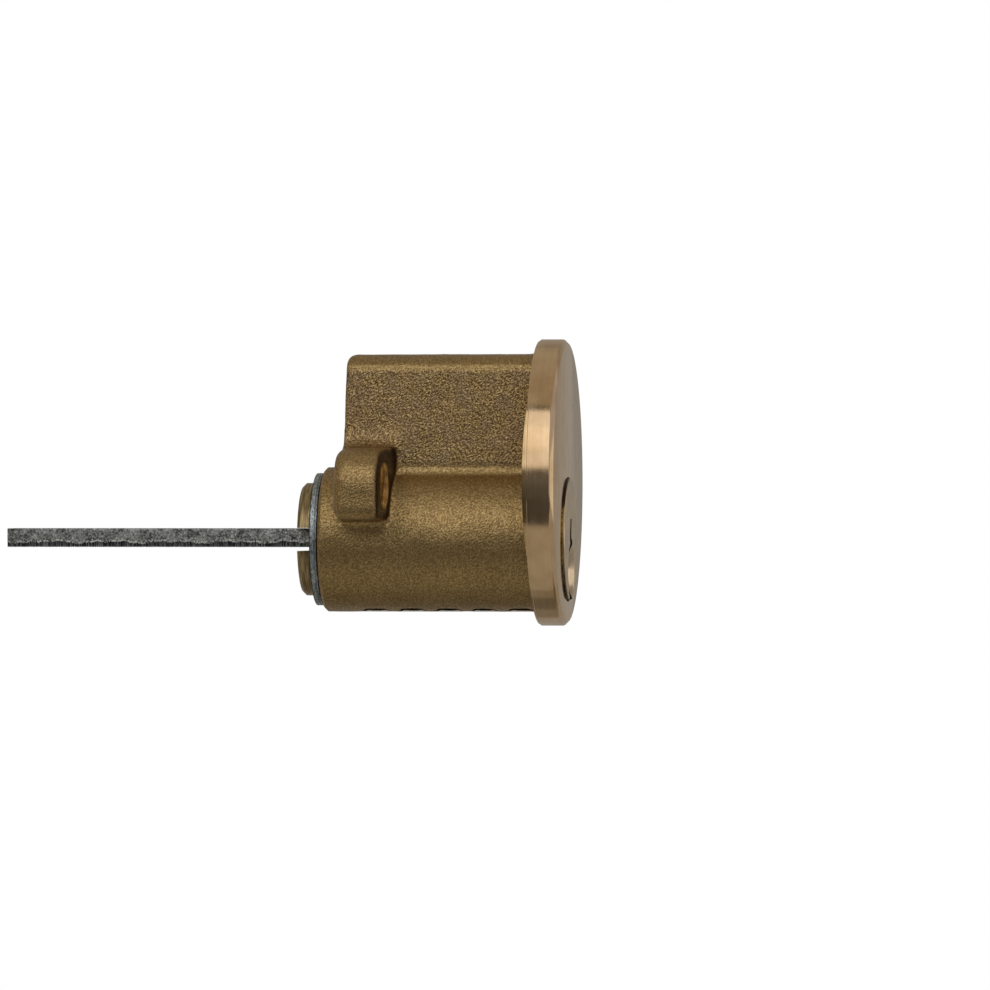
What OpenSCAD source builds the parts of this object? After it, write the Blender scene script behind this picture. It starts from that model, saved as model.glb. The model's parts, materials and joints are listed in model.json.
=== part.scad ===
// Rim cylinder for a surface-mounted night latch, with its pin tumblers and tail bar.
// Origin at the centre of the flange, on the flange's back plane. X runs across the door,
// Y runs from the key side towards the latch, Z is up. Sizes are in millimetres.

/* [Flange] */
// Diameter of the round face flange
flange_d = 33; // [31:0.5:38]
// Thickness of the flange at its rim
flange_t = 3.2; // [2.4:0.1:5]
// Bevel round the front edge of the flange
flange_bevel = 0.45; // [0.1:0.05:0.8]
// Height of the sloped land that the forging leaves behind the rim at each side
land_h = 0.35; // [0.2:0.05:1]
// Width of that land, measured inwards from the rim
land_w = 2.8; // [1.5:0.1:3.5]
// Step from the rim down to the land
land_step = 0.2; // [0.05:0.01:0.4]

/* [Barrel] */
// Outside diameter of the barrel
barrel_d = 16.6; // [16:0.1:18]
// How far the barrel runs on behind the pin housing
barrel_past = 2.5; // [1.5:0.1:12]
// Rounding of the barrel's tail end
barrel_edge = 0.2; // [0.1:0.05:0.8]
// Distance of the plug's axis below the centre of the flange
plug_drop = 6.55; // [6.2:0.05:7]

/* [Pin housing] */
// Width of the pin housing on top of the barrel
housing_w = 7; // [6.2:0.1:10]
// Height of the housing's top above the centre of the flange
housing_top = 14.8; // [14:0.1:15.4]
// Length of the housing behind the flange
housing_len = 22.4; // [21.5:0.1:30]
// Rounding of the housing's two long top edges
housing_edge_r = 1.9; // [0.5:0.1:2.6]
// Rounding of the housing's top edge at the tail
housing_back_r = 1; // [0.4:0.1:2]
// How far the top of the tail face leans forward
housing_lean = 0.25; // [0:0.05:0.6]
// Fillet between the housing and the barrel
housing_fillet = 1.5; // [0.4:0.1:1.8]

/* [Fixing lugs] */
// Distance between the two connecting screws
screw_spacing = 21; // [20.5:0.1:24]
// Core diameter of the M5 screw threads
screw_core_d = 4.2; // [3.6:0.1:4.6]
// Distance of the screws below the centre of the flange
screw_drop = 0.4; // [0:0.1:1.2]
// Radius of the lug above each screw
lug_r = 4.3; // [3.6:0.1:5]
// How far the lug reaches below its screw
lug_below = 4.1; // [3:0.1:5]
// Thickness of the lug where it leaves the housing
lug_root_t = 6.1; // [5:0.1:8]
// Thickness of the lug at its outer face
lug_tip_t = 5.3; // [3.5:0.1:6]
// Fillet between the lug and the side of the housing
lug_fillet = 1.8; // [0.5:0.1:2.4]
// Rounding of the lug's outer edges
lug_edge_r = 1; // [0.2:0.1:1.2]

/* [Plug] */
// Diameter of the plug in its bore
plug_d = 13; // [12:0.1:13.4]
// Diameter of the plug's head
plug_head_d = 14.1; // [13.8:0.1:14.4]
// Thickness of the plug's head
plug_head_t = 1.45; // [1:0.05:2]
// How far the head stands in front of the flange
plug_proud = 0.35; // [0:0.05:1]
// How far the plug runs on behind the barrel
plug_tail = 2.6; // [2.5:0.05:6]
// Chamfer round the tail end of the plug
plug_chamfer = 0.4; // [0.1:0.05:0.6]
// Radial clearance between the plug and the barrel
plug_gap = 0.03; // [0.02:0.01:0.06]
// Width of the countersink at the mouth of the plug's bore
mouth_w = 0.4; // [0.2:0.05:0.6]

/* [Keyway] */
// Overall width of the keyway
keyway_w = 2.58; // [2.2:0.02:2.8]
// Height of the keyway above the plug's axis
keyway_rise = 2.37; // [2:0.05:2.8]
// Width of the round key guide sunk into the plug's face
guide_d = 6.6; // [5:0.1:6.8]
// Depth of the key guide at its middle
guide_depth = 0.8; // [0.3:0.05:1.2]
// Distance of the key guide's centre below the plug's axis
guide_drop = 3.7; // [3.2:0.1:3.8]

/* [Pin chambers] */
// Diameter of the drilled pin chambers
chamber_d = 3; // [2.6:0.1:3.2]
// Distance of the first chamber behind the flange
chamber_first = 2.1; // [1.8:0.1:2.4]
// Distance of the last chamber in front of the housing's tail face
chamber_last = 3.5; // [3:0.05:6]
// Wall left between the chambers and the housing's top
chamber_roof = 1.6; // [1:0.1:2.5]
// Depth of the chambers below the plug's axis
chamber_floor = 1; // [0.6:0.1:1.6]
// Radial clearance of the pins in their chambers
pin_gap = 0.05; // [0.03:0.01:0.1]
// Gap left above the shear line, where the driver pins rest
shear_gap = 0.05; // [0.04:0.01:0.1]
// Length of the driver pins
driver_len = 4.8; // [4:0.1:5.5]
// How far the closing plugs lie inside the barrel's skin
closure_sunk = 0.02; // [0:0.01:0.2]

/* [Springs] */
// Diameter of the spring wire
wire_d = 0.34; // [0.25:0.01:0.4]
// Outside diameter of the springs
spring_d = 2.6; // [2.2:0.05:2.7]
// Turns of each spring
spring_turns = 9; // [6:1:11]

/* [Tail bar] */
// Thickness of the tail bar
bar_t = 2.15; // [1.8:0.05:2.4]
// Width of the tail bar
bar_w = 8.4; // [6:0.1:9]
// Width of the bar's T-shaped head
bar_head_w = 12.4; // [11.6:0.1:12.5]
// Length of the bar behind the plug
bar_reach = 34.3; // [25:0.1:80]
// Height of the slot that the bar floats in
slot_h = 2.65; // [2.5:0.05:3]
// Depth of the slot inside the barrel
slot_in = 3.3; // [2.6:0.1:3.6]
// Play of the bar's head along the plug
head_play = 0.4; // [0.3:0.05:0.6]
// Gap above the bar, which lies against the top of its slot
bar_gap = 0.07; // [0.05:0.01:0.1]
// How far the cropped end of the bar runs out of square
bar_slant = 0.25; // [0:0.05:0.6]

/* [Retaining clip] */
// Thickness of the clip
clip_t = 0.9; // [0.7:0.05:1.1]
// Depth of the clip's groove in the plug
groove_depth = 0.9; // [0.6:0.05:1.1]
// Width of the clip's ring
clip_w = 2; // [1.4:0.1:2.4]
// Gap between the clip and the barrel
clip_play = 0.1; // [0.1:0.05:0.4]
// Running clearance of the clip in its groove
clip_gap = 0.05; // [0.03:0.01:0.1]
// Angle of the clip's opening
clip_open = 100; // [80:5:130]

/* [Hidden] */
$fn = 96;
arc_steps = 5;
wire_sides = 6;
wire_steps = 12;
// Overlap that carries one solid into the next
bite = 1;
key_pin_len = [4.8, 6, 4.2, 6.4, 5.4];

flange_r = flange_d / 2;
barrel_len = housing_len + barrel_past;
barrel_r = barrel_d / 2;
plug_r = plug_d / 2;
bore_r = plug_r + plug_gap;
head_r = plug_head_d / 2;
head_bore_r = head_r + clip_gap;
head_back = plug_head_t - plug_proud - flange_t;
plug_end = barrel_len + plug_tail;

screw_x = screw_spacing / 2;
lug_side = screw_x + lug_r;
lug_top = lug_r - screw_drop;
lug_bottom = -screw_drop - lug_below;

chamber_r = chamber_d / 2;
chamber_pitch = (housing_len - chamber_first - chamber_last) / 4;
pin_r = chamber_r - pin_gap;
// A drill leaves a cone with a point angle of 118 degrees
drill_cone = chamber_r / tan(59);
roof_z = housing_top - chamber_roof - drill_cone;
floor_z = -plug_drop - chamber_floor;
// The key pins end in a flat tip that stands clear of the drill's cone
tip_r = 0.35;
tip_lift = tip_r / tan(59) + 0.04;
tip_z = floor_z + tip_lift;
tip_h = (pin_r - tip_r) / tan(59);
pin_crown = 0.17;
pin_crown_r = pin_r * 0.69;
driver_z = plug_r + shear_gap - plug_drop;
driver_edge = 0.2;
spring_gap = 0.02;
spring_foot = driver_z + driver_len + spring_gap;
spring_head = roof_z - spring_gap;

slot_y = barrel_len - slot_in;
bar_z = slot_h / 2 - bar_gap - bar_t / 2 - plug_drop;
bar_y = slot_y + head_play;
clip_y = barrel_len + clip_play;
clip_in = plug_r - groove_depth + clip_gap;
clip_out = clip_in + clip_w;
bar_end = plug_end + bar_reach;

// Outlines

function flat(p) = [p[0], p[1]];
function unit(v) = v / norm(v);
function mirrored(p) = [for (i = [len(p) - 1 : -1 : 0]) [-p[i][0], p[i][1]]];
function arc(centre, r, from, turn, steps) = [
    for (i = [0 : steps]) centre + r * [cos(from + turn * i / steps), sin(from + turn * i / steps)]
];
// One corner of an outline, rounded to the radius that its third number gives
function corner(a, b, c) = b[2] == 0 ? [flat(b)] :
    let (
        u = unit(flat(a) - flat(b)),
        v = unit(flat(c) - flat(b)),
        half = acos(u * v) / 2,
        centre = flat(b) + unit(u + v) * b[2] / sin(half),
        first = flat(b) + u * b[2] / tan(half) - centre,
        last = flat(b) + v * b[2] / tan(half) - centre,
        from = atan2(first[1], first[0]),
        turn = (atan2(last[1], last[0]) - from + 540) % 360 - 180
    )
    arc(centre, b[2], from, turn, arc_steps);
function rounded(p) = [
    for (i = [0 : len(p) - 1]) each corner(p[(i + len(p) - 1) % len(p)], p[i], p[(i + 1) % len(p)])
];

// The housing's section, from where its fillet leaves the barrel up to the middle of its top.
// The fillet stops just short of its tangent point, so that it cuts cleanly into the barrel.
fillet_x = housing_w / 2 + housing_fillet;
fillet_rise = sqrt(pow(barrel_r + housing_fillet, 2) - pow(fillet_x, 2));
fillet_turn = 0.88 * atan(fillet_rise / fillet_x);
housing_half = concat(
    [[housing_w / 4, -plug_drop]],
    arc([fillet_x, fillet_rise - plug_drop], housing_fillet, 180 + fillet_turn, -fillet_turn, arc_steps),
    arc([housing_w / 2 - housing_edge_r, housing_top - housing_edge_r], housing_edge_r, 0, 90, arc_steps)
);
// The housing seen from the side: its tail face leans and its top corner is rounded
housing_side = rounded([
    [-bite, -plug_drop, 0],
    [housing_len, -plug_drop, 0],
    [housing_len, lug_top, 0],
    [housing_len - housing_lean, housing_top, housing_back_r],
    [-bite, housing_top, 0]
]);
lug_half = rounded([
    [0, lug_bottom, 0],
    [lug_side, lug_bottom, lug_edge_r],
    [lug_side, lug_top, lug_r],
    [housing_w / 2, lug_top, lug_fillet],
    [housing_w / 2, lug_top + lug_fillet + bite, 0],
    [0, lug_top + lug_fillet + bite, 0]
]);
// The lugs seen from above: their front faces are drafted
lug_draft = (lug_root_t - lug_tip_t) / (lug_side - housing_w / 2);
lug_plan_half = rounded([
    [0, housing_len - lug_root_t - lug_draft * housing_w / 2, 0],
    [lug_side, housing_len - lug_tip_t, lug_edge_r],
    [lug_side, housing_len, lug_edge_r],
    [0, housing_len, 0]
]);
// The keyway's section about the plug's axis, down its right side and up its left
kw = keyway_w / 2;
keyway_outline = rounded([
    [0.45 * kw, keyway_rise, 0.12],
    [0.1 * kw, keyway_rise - 1.95, 0.3],
    [0.93 * kw, keyway_rise - 2.5, 0.12],
    [0.93 * kw, keyway_rise - 5.5, 0.4],
    [-0.12 * kw, keyway_rise - 6.65, 0.25],
    [-0.1 * kw, keyway_rise - 7.6, 0.2],
    [0.93 * kw, keyway_rise - 7.9, 0.1],
    [0.93 * kw, -plug_r - bite, 0],
    [-1.07 * kw, -plug_r - bite, 0],
    [-1.07 * kw, keyway_rise - 5.25, 0.3],
    [0.04 * kw, keyway_rise - 5, 0.25],
    [0.03 * kw, keyway_rise - 3.8, 0.3],
    [-0.95 * kw, keyway_rise - 2.6, 0.5],
    [-0.98 * kw, keyway_rise - 1.55, 0.5],
    [-0.52 * kw, keyway_rise, 0.12]
]);

// Placing

// Turns a shape drawn along Z so that it runs along Y from the plane y
module behind(y, x = 0, z = 0) translate([x, y, z]) rotate([-90, 0, 0]) children();
// Extrudes an outline drawn in X and Z towards the tail
module towards_tail(y, length) translate([0, y + length, 0]) rotate([90, 0, 0]) linear_extrude(length) children();
// Extrudes an outline drawn in Y and Z to both sides
module to_both_sides(width) rotate([90, 0, 90]) linear_extrude(width, center = true) children();
module on_plug_axis() translate([0, 0, -plug_drop]) children();
module at_chamber(i) translate([0, chamber_first + (i - 1) * chamber_pitch, 0]) children();

// Forged and turned body

module flange() {
    behind(0) rotate_extrude() polygon([
        [0, -flange_t],
        [flange_r - flange_bevel, -flange_t],
        [flange_r, flange_bevel - flange_t],
        [flange_r, 0],
        [0, 0]
    ]);
}

module side_land() {
    land_r = flange_r - land_step;
    intersection() {
        behind(-bite) cylinder(r = land_r, h = bite + land_h);
        linear_extrude(flange_d, center = true) polygon([
            [land_r - land_w, -bite],
            [land_r - land_w, 0],
            [land_r, land_h],
            [land_r + bite, land_h],
            [land_r + bite, -bite]
        ]);
    }
}

module barrel() {
    on_plug_axis() behind(0) rotate_extrude() polygon([
        [0, -bite],
        [barrel_r, -bite],
        [barrel_r, barrel_len - barrel_edge],
        [barrel_r - barrel_edge, barrel_len],
        [0, barrel_len]
    ]);
}

module pin_housing() {
    intersection() {
        towards_tail(-bite, housing_len + bite) polygon(concat(housing_half, mirrored(housing_half)));
        to_both_sides(flange_d) polygon(housing_side);
    }
}

module lugs() {
    intersection() {
        towards_tail(housing_len - 2 * lug_root_t, 2 * lug_root_t) polygon(concat(lug_half, mirrored(lug_half)));
        linear_extrude(flange_d, center = true) polygon(concat(lug_plan_half, mirrored(lug_plan_half)));
    }
}

module plug_bore() {
    on_plug_axis() {
        behind(-flange_t - bite) cylinder(r = bore_r, h = flange_t + barrel_len + 2 * bite);
        behind(-flange_t - bite) cylinder(r = head_bore_r, h = head_back + clip_gap + flange_t + bite);
        behind(-flange_t) cylinder(r1 = head_bore_r + mouth_w, r2 = head_bore_r, h = mouth_w);
    }
}

// A chamber is drilled from under the barrel, through the plug and up into the housing
module chamber() {
    translate([0, 0, -plug_drop - barrel_r - bite]) cylinder(r = chamber_r, h = roof_z + plug_drop + barrel_r + bite);
    translate([0, 0, roof_z]) cylinder(r1 = chamber_r, r2 = 0, h = drill_cone);
}

module cylinder_body() {
    color("darkgoldenrod") difference() {
        union() {
            flange();
            side_land();
            mirror([1, 0, 0]) side_land();
            barrel();
            pin_housing();
            lugs();
        }
        plug_bore();
        for (i = [1 : 5]) at_chamber(i) chamber();
        for (x = [-screw_x, screw_x]) behind(0, x, -screw_drop) cylinder(d = screw_core_d, h = housing_len + bite);
    }
}

// Plug, with its keyway, chambers, tail slot and clip groove

module plug_blank() {
    behind(0) rotate_extrude() polygon([
        [0, -flange_t - plug_proud],
        [head_r, -flange_t - plug_proud],
        [head_r, head_back],
        [plug_r, head_back],
        [plug_r, clip_y - clip_gap],
        [plug_r - groove_depth, clip_y - clip_gap],
        [plug_r - groove_depth, clip_y + clip_t + clip_gap],
        [plug_r, clip_y + clip_t + clip_gap],
        [plug_r, plug_end - plug_chamfer],
        [plug_r - plug_chamfer, plug_end],
        [0, plug_end]
    ]);
}

module key_guide() {
    ball_r = (pow(guide_d / 2, 2) + pow(guide_depth, 2)) / (2 * guide_depth);
    translate([0, guide_depth - ball_r - flange_t - plug_proud, -guide_drop]) sphere(r = ball_r);
}

module plug_chamber() {
    translate([0, 0, drill_cone - chamber_floor]) cylinder(r = chamber_r, h = plug_r + chamber_floor);
    translate([0, 0, -chamber_floor]) cylinder(r1 = 0, r2 = chamber_r, h = drill_cone);
}

module plug() {
    color("burlywood") on_plug_axis() difference() {
        plug_blank();
        towards_tail(-flange_t - plug_proud - bite, plug_end + flange_t + plug_proud + 2 * bite)
            polygon(keyway_outline);
        key_guide();
        for (i = [1 : 5]) at_chamber(i) plug_chamber();
        translate([-plug_r - bite, slot_y, -slot_h / 2]) cube([plug_d + 2 * bite, plug_end, slot_h]);
    }
}

// Pin tumblers

module key_pin(i) {
    top = tip_z + key_pin_len[i - 1];
    color("gold") at_chamber(i) rotate_extrude() polygon([
        [0, tip_z],
        [tip_r, tip_z],
        [pin_r, tip_z + tip_h],
        [pin_r, top - pin_crown],
        [pin_crown_r, top],
        [0, top]
    ]);
}

module driver_pin(i) {
    color("silver") at_chamber(i) rotate_extrude() polygon([
        [0, driver_z],
        [pin_r - driver_edge, driver_z],
        [pin_r, driver_z + driver_edge],
        [pin_r, driver_z + driver_len - driver_edge],
        [pin_r - driver_edge, driver_z + driver_len],
        [0, driver_z + driver_len]
    ]);
}

// Height of the wire after t turns: the first and last turns lie closed, the rest are open
function wire_z(t) =
    let (
        closed = wire_d * 1.05,
        open = (spring_head - spring_foot - wire_d - 2 * closed) / (spring_turns - 2),
        low = min(t, 1) * closed,
        middle = max(0, min(t - 1, spring_turns - 2)) * open,
        high = max(0, t - spring_turns + 1) * closed
    )
    spring_foot + wire_d / 2 + low + middle + high;

// A coil as one tube: a ring of points at each step, and quads between the rings
module spring(i) {
    rings = spring_turns * wire_steps;
    coil_r = (spring_d - wire_d) / 2;
    points = [
        for (ring = [0 : rings], side = [0 : wire_sides - 1])
            let (
                turn = 360 * ring / wire_steps,
                out = coil_r + wire_d / 2 * cos(360 * side / wire_sides)
            )
            [
                out * cos(turn),
                out * sin(turn),
                wire_z(ring / wire_steps) + wire_d / 2 * sin(360 * side / wire_sides)
            ]
    ];
    walls = [
        for (ring = [0 : rings - 1], side = [0 : wire_sides - 1])
            let (
                here = ring * wire_sides,
                next = (side + 1) % wire_sides
            )
            [here + side, here + wire_sides + side, here + wire_sides + next, here + next]
    ];
    ends = [
        [for (side = [0 : wire_sides - 1]) side],
        [for (side = [wire_sides - 1 : -1 : 0]) rings * wire_sides + side]
    ];
    color("gainsboro") at_chamber(i) polyhedron(points, concat(walls, ends));
}

// Plugs close the drilled holes under the barrel, clear of the plug's bore, and are turned off with its skin
module chamber_plug(i) {
    color("tan") on_plug_axis() intersection() {
        at_chamber(i) translate([0, 0, -barrel_r]) cylinder(r = chamber_r - pin_gap / 5, h = barrel_r - bore_r - shear_gap);
        behind(-bite) cylinder(r = barrel_r - closure_sunk, h = barrel_len + 2 * bite);
    }
}

// Drive parts

module tail_bar() {
    head_end = barrel_len;
    half = rounded([
        [0, bar_y, 0],
        [bar_head_w / 2, bar_y, 0.4],
        [bar_head_w / 2, head_end, 0.4],
        [bar_w / 2, head_end, 0.3],
        [bar_w / 2, bar_end, 0.2],
        [0, bar_end - bar_slant / 2, 0]
    ]);
    other = rounded([
        [0, bar_end - bar_slant / 2, 0],
        [-bar_w / 2, bar_end - bar_slant, 0.2],
        [-bar_w / 2, head_end, 0.3],
        [-bar_head_w / 2, head_end, 0.4],
        [-bar_head_w / 2, bar_y, 0.4],
        [0, bar_y, 0]
    ]);
    color("slategray") translate([0, 0, bar_z - bar_t / 2]) linear_extrude(bar_t) polygon(concat(half, other));
}

module retaining_clip() {
    middle_r = (clip_in + clip_out) / 2;
    half_open = clip_open / 2;
    color("lightsteelblue") on_plug_axis() behind(clip_y) {
        difference() {
            cylinder(r = clip_out, h = clip_t);
            translate([0, 0, -bite]) cylinder(r = clip_in, h = clip_t + 2 * bite);
            translate([0, 0, -bite]) linear_extrude(clip_t + 2 * bite) polygon([
                [0, 0],
                2 * clip_out * [cos(half_open), -sin(half_open)],
                2 * clip_out * [1, 0],
                2 * clip_out * [cos(half_open), sin(half_open)]
            ]);
        }
        for (side = [-1, 1]) translate(middle_r * [cos(half_open), side * sin(half_open)])
            cylinder(d = clip_w * 0.98, h = clip_t);
    }
}

cylinder_body();
plug();
tail_bar();
retaining_clip();
for (i = [1 : 5]) {
    key_pin(i);
    driver_pin(i);
    spring(i);
    chamber_plug(i);
}
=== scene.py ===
# %% [markdown]
# # A lock cylinder, dressed for its photograph
#
# A rim cylinder is the keyed half of a night latch. Its body is one brass forging: a round flange, a barrel
# for the turning plug, a housing for the pins and two lugs for the fixing screws. Some of it stays as it left
# the forging press and the shot blaster, and some is turned bright on a lathe. The looks of this part live in
# that contrast, so each step below makes one piece the way its maker does: forge it, then machine it.
#
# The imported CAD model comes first. It is the fixed frame that every piece here is fitted to.

# %% Load the frame
import json
import math

import bpy
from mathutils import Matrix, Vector, noise


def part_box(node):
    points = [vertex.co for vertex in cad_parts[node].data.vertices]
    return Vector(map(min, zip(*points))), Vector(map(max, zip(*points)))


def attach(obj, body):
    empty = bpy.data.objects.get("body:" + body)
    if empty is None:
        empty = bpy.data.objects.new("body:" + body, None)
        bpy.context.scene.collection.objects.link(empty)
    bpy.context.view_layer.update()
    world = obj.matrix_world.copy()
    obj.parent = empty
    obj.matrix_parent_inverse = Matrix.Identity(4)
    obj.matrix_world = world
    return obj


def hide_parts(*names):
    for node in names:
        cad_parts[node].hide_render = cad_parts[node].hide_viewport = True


MM = 0.001

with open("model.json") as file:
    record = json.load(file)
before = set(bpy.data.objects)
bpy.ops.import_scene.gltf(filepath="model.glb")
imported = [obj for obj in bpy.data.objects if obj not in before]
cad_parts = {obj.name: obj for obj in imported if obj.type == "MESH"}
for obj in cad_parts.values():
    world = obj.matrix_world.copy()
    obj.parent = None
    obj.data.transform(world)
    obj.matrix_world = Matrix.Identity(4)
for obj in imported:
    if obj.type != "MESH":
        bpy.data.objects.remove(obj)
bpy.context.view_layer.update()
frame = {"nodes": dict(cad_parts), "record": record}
print("nodes in the frame:", len(frame["nodes"]))

# %% [markdown]
# ## Sizes
#
# Pieces are modelled in millimetres, as on a workshop drawing, and shrunk to metres when they are finished.
# What the frame knows is read from it, so that a piece always lands on the node that it dresses. The rest are
# sizes of the real part: X runs across, Y from the key side to the tail, and Z is up.

# %% Sizes in millimetres
def box_mm(node):
    low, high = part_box(node)
    return low / MM, high / MM


def mount(name):
    return next(m for m in frame["record"]["mounts"] if m["name"] == name)


body_low, body_high = box_mm("cylinder_body")
plug_low, plug_high = box_mm("plug")
bar_low, bar_high = box_mm("tail_bar")
clip_low, clip_high = box_mm("retaining_clip")
closure_boxes = [box_mm(f"chamber_plug_{i}") for i in range(1, 6)]

flange_r = body_high.x
flange_front = body_low.y
barrel_end = body_high.y
head_r = plug_high.x
head_face = plug_low.y
plug_z = plug_high.z - head_r
plug_end = plug_high.y
screws = mount("fixing_screws")
housing_end, screw_z = screws["pos_m"][1] / MM, screws["pos_m"][2] / MM
screw_x = screws["dims"]["spacing_x_mm"] / 2
core_r = screws["dims"]["hole_r_mm"]

barrel_r = 8.3
housing_half_w = 3.5
housing_top = 14.8
plug_r = 6.5
bore_r = 6.53
head_bore_r = 7.1
head_floor = -2.05
chamber_r = 1.5
chamber_ys = [(low.y + high.y) / 2 for low, high in closure_boxes]
chamber_roof = 12.3
print("plug axis at z =", round(plug_z, 2), "mm, chambers at y =", [round(y, 2) for y in chamber_ys])

# %% [markdown]
# ## Camera
#
# The photograph was taken with a long lens, level with the part and a little towards its key side. The frame
# is 114 mm wide at the part, and the part fills its left half, so the camera looks at a point behind the
# flange. The camera is placed first, because every later judgement is made through it.

# %% Camera
# An angle in degrees, and lengths in millimetres
VIEW_AZIMUTH = -83.4
VIEW_DISTANCE = 1000
FRAME_WIDTH = 114.2
AIM = Vector((0, 5.28, -1.44))

azimuth = math.radians(VIEW_AZIMUTH)
towards_camera = Vector((math.sin(azimuth), -math.cos(azimuth), 0))
bpy.ops.object.camera_add(location=(AIM + towards_camera * VIEW_DISTANCE) * MM)
camera = bpy.context.object
camera.rotation_euler = (-towards_camera).to_track_quat("-Z", "Y").to_euler()
camera.data.lens = camera.data.sensor_width * VIEW_DISTANCE / FRAME_WIDTH
camera.data.clip_start = 0.01
bpy.context.scene.camera = camera
print("lens", round(camera.data.lens), "mm")

# %% [markdown]
# ## Shader maths as expressions
#
# Brass is one colour, but every surface of this part wears it differently. The patterns are sums and products
# of a few noises, and they read best as arithmetic, so a small class wraps a socket and overloads the
# operators. Each operator adds one Math node.

# %% Sockets with arithmetic
class Wire:
    def __init__(self, finish, socket):
        self.finish = finish
        self.socket = socket

    def maths(self, operation, *values):
        return self.finish.node("ShaderNodeMath", {"operation": operation}, dict(enumerate(values)))

    def __add__(self, other):
        return self.maths("ADD", self, other)

    def __sub__(self, other):
        return self.maths("SUBTRACT", self, other)

    def __rsub__(self, other):
        return self.maths("SUBTRACT", other, self)

    def __mul__(self, other):
        return self.maths("MULTIPLY", self, other)

    def __pow__(self, other):
        return self.maths("POWER", self, other)

    def __abs__(self):
        return self.maths("ABSOLUTE", self)

    def band(self, low, high):
        """0 below low, 1 above high, and a smooth step between them."""
        settings = {"interpolation_type": "SMOOTHSTEP"}
        sockets = {"Value": self, "From Min": low, "From Max": high}
        return self.finish.node("ShaderNodeMapRange", settings, sockets)

    __radd__ = __add__
    __rmul__ = __mul__


# %% [markdown]
# A second class holds a material while its nodes are made. One method adds a node of any kind, and a few
# short ones stand for the nodes that every finish needs. Colours go through Mix nodes, because a Math node
# would turn them grey.

# %% Finishes
class Finish:
    """One material. node() adds any node: its settings first, then the values or wires of its sockets."""

    def __init__(self, name):
        self.material = bpy.data.materials.new(name)
        self.material.use_nodes = True
        self.tree = self.material.node_tree
        self.shader = self.tree.nodes["Principled BSDF"]

    def node(self, kind, settings=None, sockets=None, output=0):
        made = self.tree.nodes.new(kind)
        for key, value in (settings or {}).items():
            setattr(made, key, value)
        for key, value in (sockets or {}).items():
            self.feed(made.inputs[key], value)
        return Wire(self, made.outputs[output])

    def feed(self, socket, value):
        if isinstance(value, Wire):
            self.tree.links.new(value.socket, socket)
        else:
            socket.default_value = value

    def place(self, stretch=(1, 1, 1)):
        """Object coordinates in millimetres, stretched along each axis."""
        spot = self.node("ShaderNodeTexCoord", output=3)
        scale = tuple(s / MM for s in stretch)
        return self.node("ShaderNodeVectorMath", {"operation": "MULTIPLY"}, {0: spot, 1: scale})

    def axes(self):
        """X, Y and Z in millimetres, as three wires."""
        split = self.node("ShaderNodeSeparateXYZ", sockets={0: self.place()}).socket.node
        return [Wire(self, socket) for socket in split.outputs]

    def point(self, x, y, z):
        """A place made of three wires or numbers."""
        return self.node("ShaderNodeCombineXYZ", sockets={0: x, 1: y, 2: z})

    def noise(self, place, scale, detail, roughness, **more):
        values = {"Vector": place, "Scale": scale, "Detail": detail, "Roughness": roughness, **more}
        return self.node("ShaderNodeTexNoise", sockets=values)

    def mix(self, amount, first, second):
        """Mixes two colours. A Mix node keeps its colour sockets at places 6 and 7."""
        return self.node("ShaderNodeMix", {"data_type": "RGBA"}, {0: amount, 6: first, 7: second}, output=2)

    def bump(self, height, depth_mm, strength):
        values = {"Strength": strength, "Distance": depth_mm * MM, "Height": height}
        return self.node("ShaderNodeBump", sockets=values)

    def surface(self, **sockets):
        """Feeds the shader: surface(Base_Color=..., Roughness=...)."""
        for key, value in sockets.items():
            self.feed(self.shader.inputs[key.replace("_", " ")], value)

    def end_in(self, shader):
        """Puts another shader on the material's output."""
        self.tree.links.new(shader.socket, self.tree.nodes["Material Output"].inputs[0])


def from_axis(across, up):
    """Distance from an axis, from two wires."""
    return (across * across + up * up) ** 0.5


def rgb(red, green, blue):
    """A colour as a picture editor shows it, 0 to 255, made linear for the shader."""
    def linear(value):
        value /= 255
        return value / 12.92 if value <= 0.04045 else ((value + 0.055) / 1.055) ** 2.4
    return (linear(red), linear(green), linear(blue), 1.0)


# %% [markdown]
# ## Forged brass
#
# The forging is shot blasted: millions of dents a few tenths of a millimetre across, with dull oxide in the
# pits and brighter metal on the peaks. Two noises make the dents, and two more the slow change from place to
# place. The dents are a bump, because real geometry at this size would take millions of faces, while the
# shapes that one sees at arm's length are modelled.

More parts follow.
